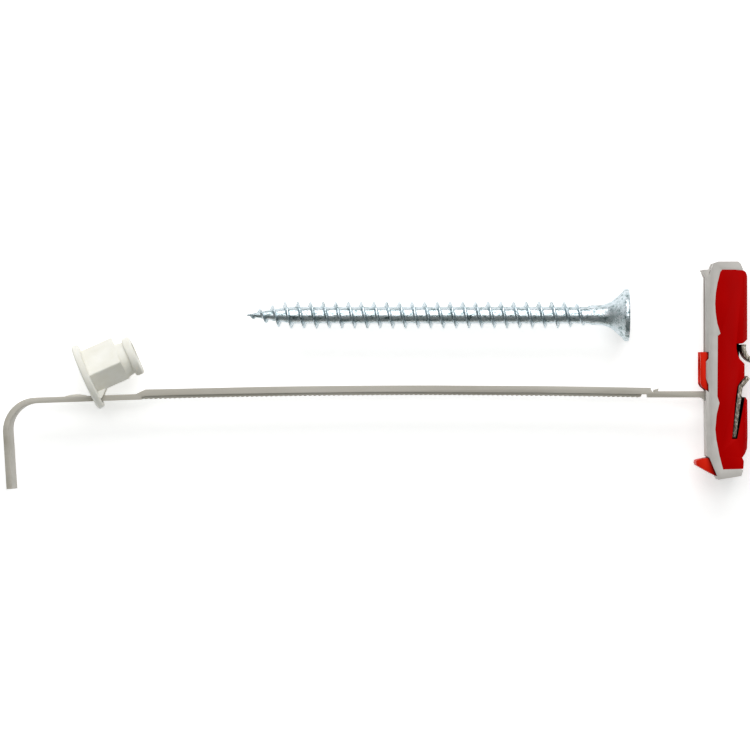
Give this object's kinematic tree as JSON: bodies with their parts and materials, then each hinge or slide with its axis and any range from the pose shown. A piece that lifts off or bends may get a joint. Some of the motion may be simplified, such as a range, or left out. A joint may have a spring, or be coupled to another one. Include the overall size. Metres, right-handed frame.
{
  "type": "wall anchor",
  "caption": "Tilting toggle wall anchor on a ratchet strap with a sliding flanged collar, for a thin-walled cavity, with its countersunk screw beside it.",
  "frame": {"origin": "where the screw axis meets the bearing face of the standing toggle", "axes": "+X into the wall cavity along the screw hole, +Y along the standing toggle, +Z across the width of the strap"},
  "size_m": [0.1372, 0.0415, 0.0124],
  "materials": {
    "strap": "moulded nylon, satin",
    "toggle_shell": "glass-filled nylon",
    "toggle_core": "moulded nylon, low gloss",
    "grip_leaf": "sheared spring steel",
    "collar": "moulded nylon, satin",
    "screw": "bright zinc plate"
  },
  "bodies": {
    "strap": {"strap": "strap"},
    "toggle": {"toggle_shell": "toggle_shell", "toggle_core": "toggle_core"},
    "upper_leaf": {"upper_grip_leaf": "grip_leaf"},
    "lower_leaf": {"lower_grip_leaf": "grip_leaf"},
    "collar_latch": {"collar_latch": "collar"},
    "collar": {"collar": "collar"},
    "screw": {"screw": "screw"}
  },
  "joints": [
    {"name": "toggle_tilt", "type": "hinge", "parent": "strap", "child": "toggle", "pos_m": [0.00057, -0.00435, 0], "axis": [0, 0, 1], "range_deg": [0, 34], "stiffness_Nm_per_rad": 0.002},
    {"name": "upper_leaf_flex", "type": "hinge", "parent": "toggle", "child": "upper_leaf", "pos_m": [0.0068, 0.0047, 0], "axis": [0, 0, 1], "range_deg": [0, 12], "stiffness_Nm_per_rad": 0.02},
    {"name": "lower_leaf_flex", "type": "hinge", "parent": "toggle", "child": "lower_leaf", "pos_m": [0.0052, -0.012, 0], "axis": [0, 0, -1], "range_deg": [0, 1.5], "stiffness_Nm_per_rad": 0.02},
    {"name": "collar_slide", "type": "slide", "parent": "strap", "child": "collar_latch", "axis": [1, 0.0062, 0], "range_m": [0, 0.0905]},
    {"name": "collar_lean", "type": "hinge", "parent": "collar_latch", "child": "collar", "pos_m": [-0.1105, -0.00607, 0], "axis": [0, 0, -1], "range_deg": [0, 24]},
    {"name": "screw_turn", "type": "hinge", "parent": "strap", "child": "screw", "pos_m": [-0.0138, 0.01012, 0], "axis": [-1, 0, 0], "continuous": true}
  ],
  "couplings": [
    {"joint": "collar_lean", "follows": "collar_slide", "rad_per_m": 4.628}
  ]
}
